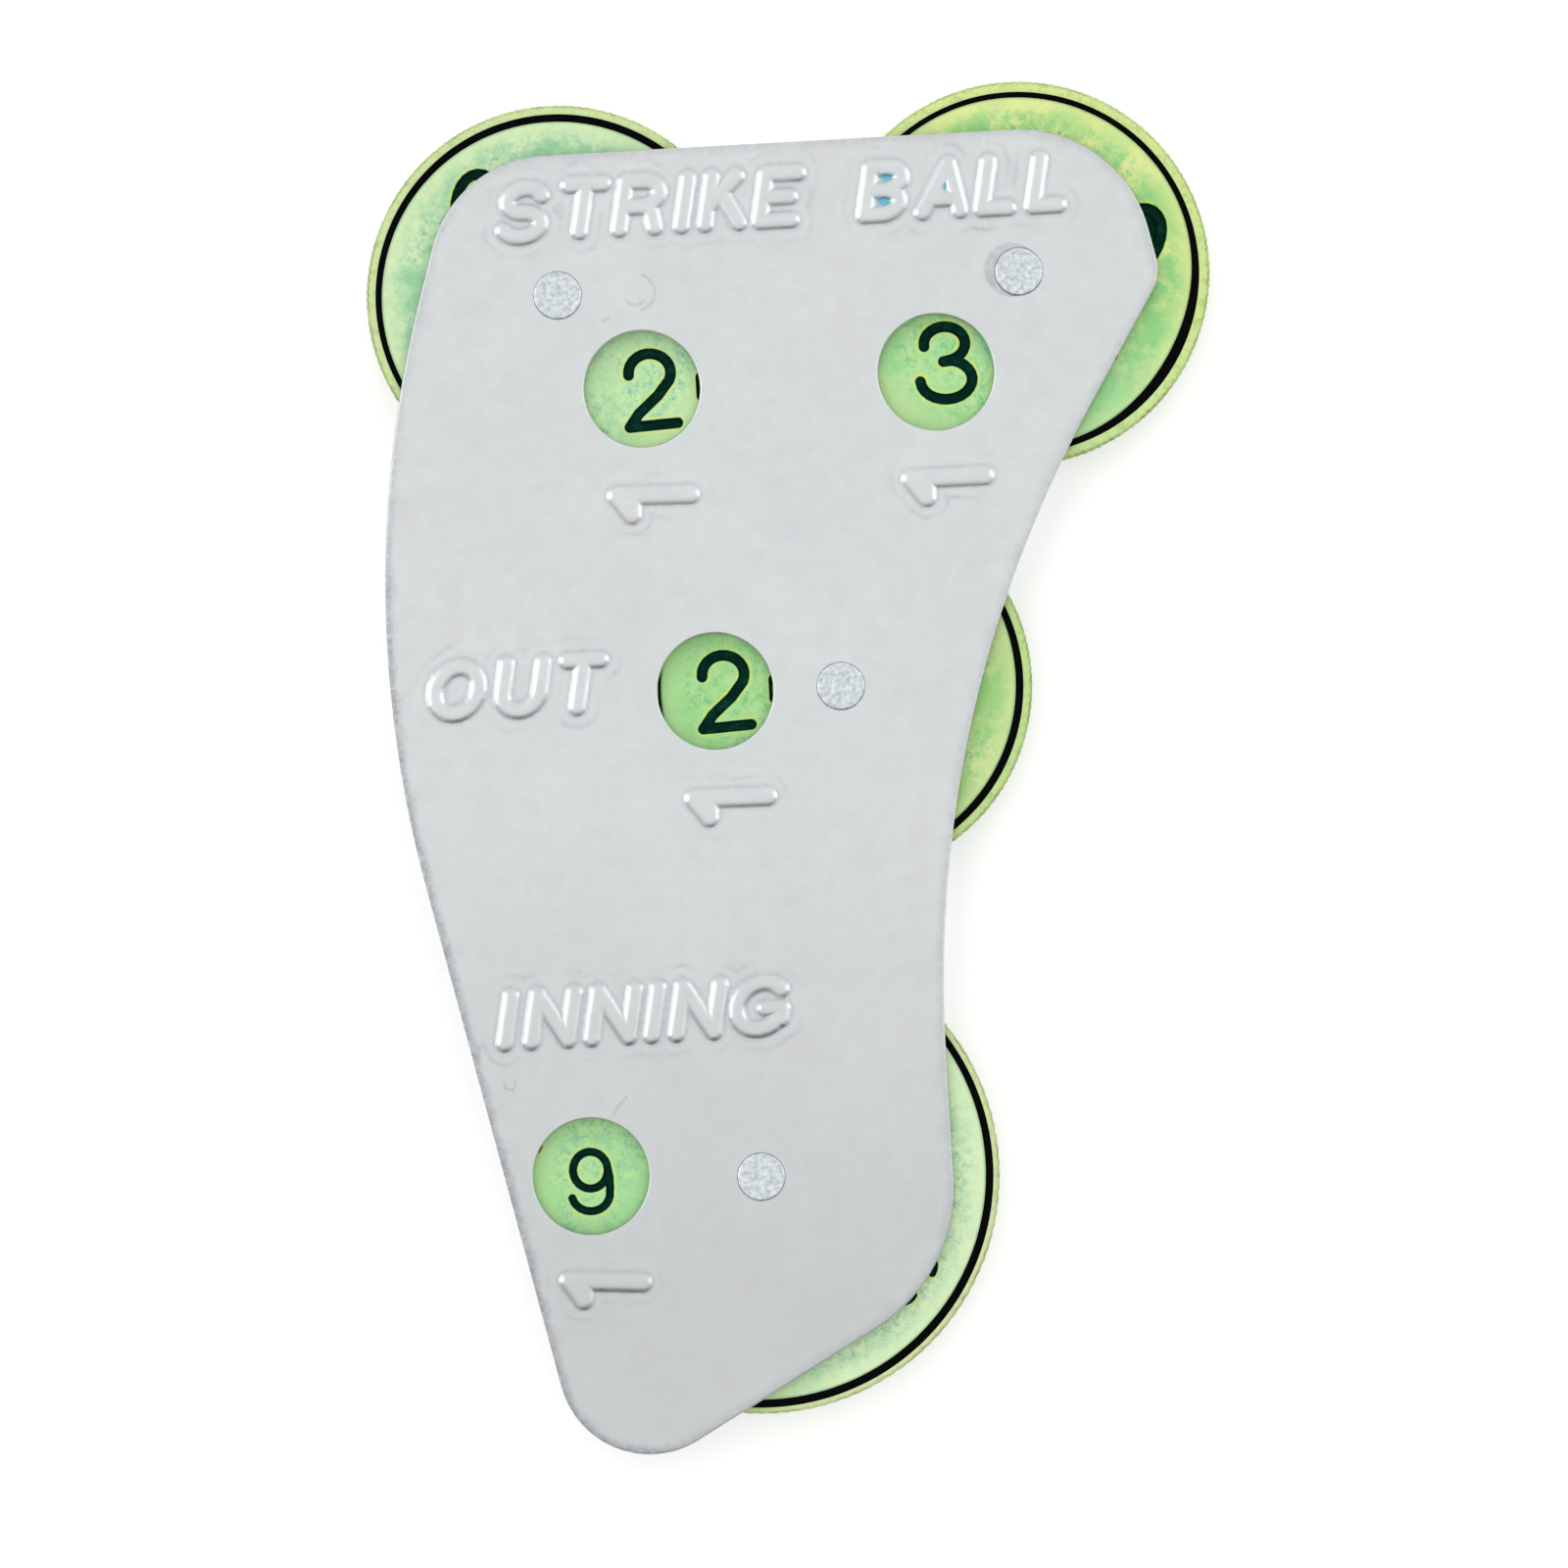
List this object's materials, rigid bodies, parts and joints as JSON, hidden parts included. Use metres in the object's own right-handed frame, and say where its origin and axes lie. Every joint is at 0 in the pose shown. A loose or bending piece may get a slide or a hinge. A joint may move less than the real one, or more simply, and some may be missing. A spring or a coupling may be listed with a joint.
{
  "type": "umpire indicator",
  "caption": "Palm-held baseball umpire counter: two riveted metal plates with strike, ball, out and inning dials that turn behind round windows.",
  "frame": {"origin": "under the middle of the whole outline, on the back plate's outer face", "axes": "+Y towards the wide end with the strike and ball dials, +Z out of the front face, +X to the right as the front is read"},
  "size_m": [0.0536, 0.0858, 0.005],
  "materials": {
    "plate_aluminium": "satin sheet metal with fine scratches",
    "rivet_aluminium": "lightly hammered rivet ends",
    "dial_plastic": "mottled pale green, black ring and numbers",
    "sleeve_steel": "turned",
    "spring_steel": "bright spring strip"
  },
  "bodies": {
    "case": {"front_plate": "plate_aluminium", "back_plate": "plate_aluminium", "strike_rivet": "rivet_aluminium", "ball_rivet": "rivet_aluminium", "out_rivet": "rivet_aluminium", "inning_rivet": "rivet_aluminium", "strike_spacer_sleeve": "sleeve_steel", "ball_spacer_sleeve": "sleeve_steel", "out_spacer_sleeve": "sleeve_steel", "inning_spacer_sleeve": "sleeve_steel", "strike_wave_washer": "spring_steel", "ball_wave_washer": "spring_steel", "out_wave_washer": "spring_steel", "inning_wave_washer": "spring_steel"},
    "strike": {"strike_dial": "dial_plastic"},
    "ball": {"ball_dial": "dial_plastic"},
    "out": {"out_dial": "dial_plastic"},
    "inning": {"inning_dial": "dial_plastic"}
  },
  "joints": [
    {"name": "strike_turn", "type": "hinge", "parent": "case", "child": "strike", "pos_m": [-0.01461, 0.03069, 0.0025], "axis": [0, 0, 1], "continuous": true},
    {"name": "ball_turn", "type": "hinge", "parent": "case", "child": "ball", "pos_m": [0.01461, 0.03058, 0.0025], "axis": [0, 0, 1], "continuous": true},
    {"name": "out_turn", "type": "hinge", "parent": "case", "child": "out", "pos_m": [0.00191, 0.00502, 0.0025], "axis": [0, 0, 1], "continuous": true},
    {"name": "inning_turn", "type": "hinge", "parent": "case", "child": "inning", "pos_m": [-0.00485, -0.0257, 0.0025], "axis": [0, 0, 1], "continuous": true}
  ]
}
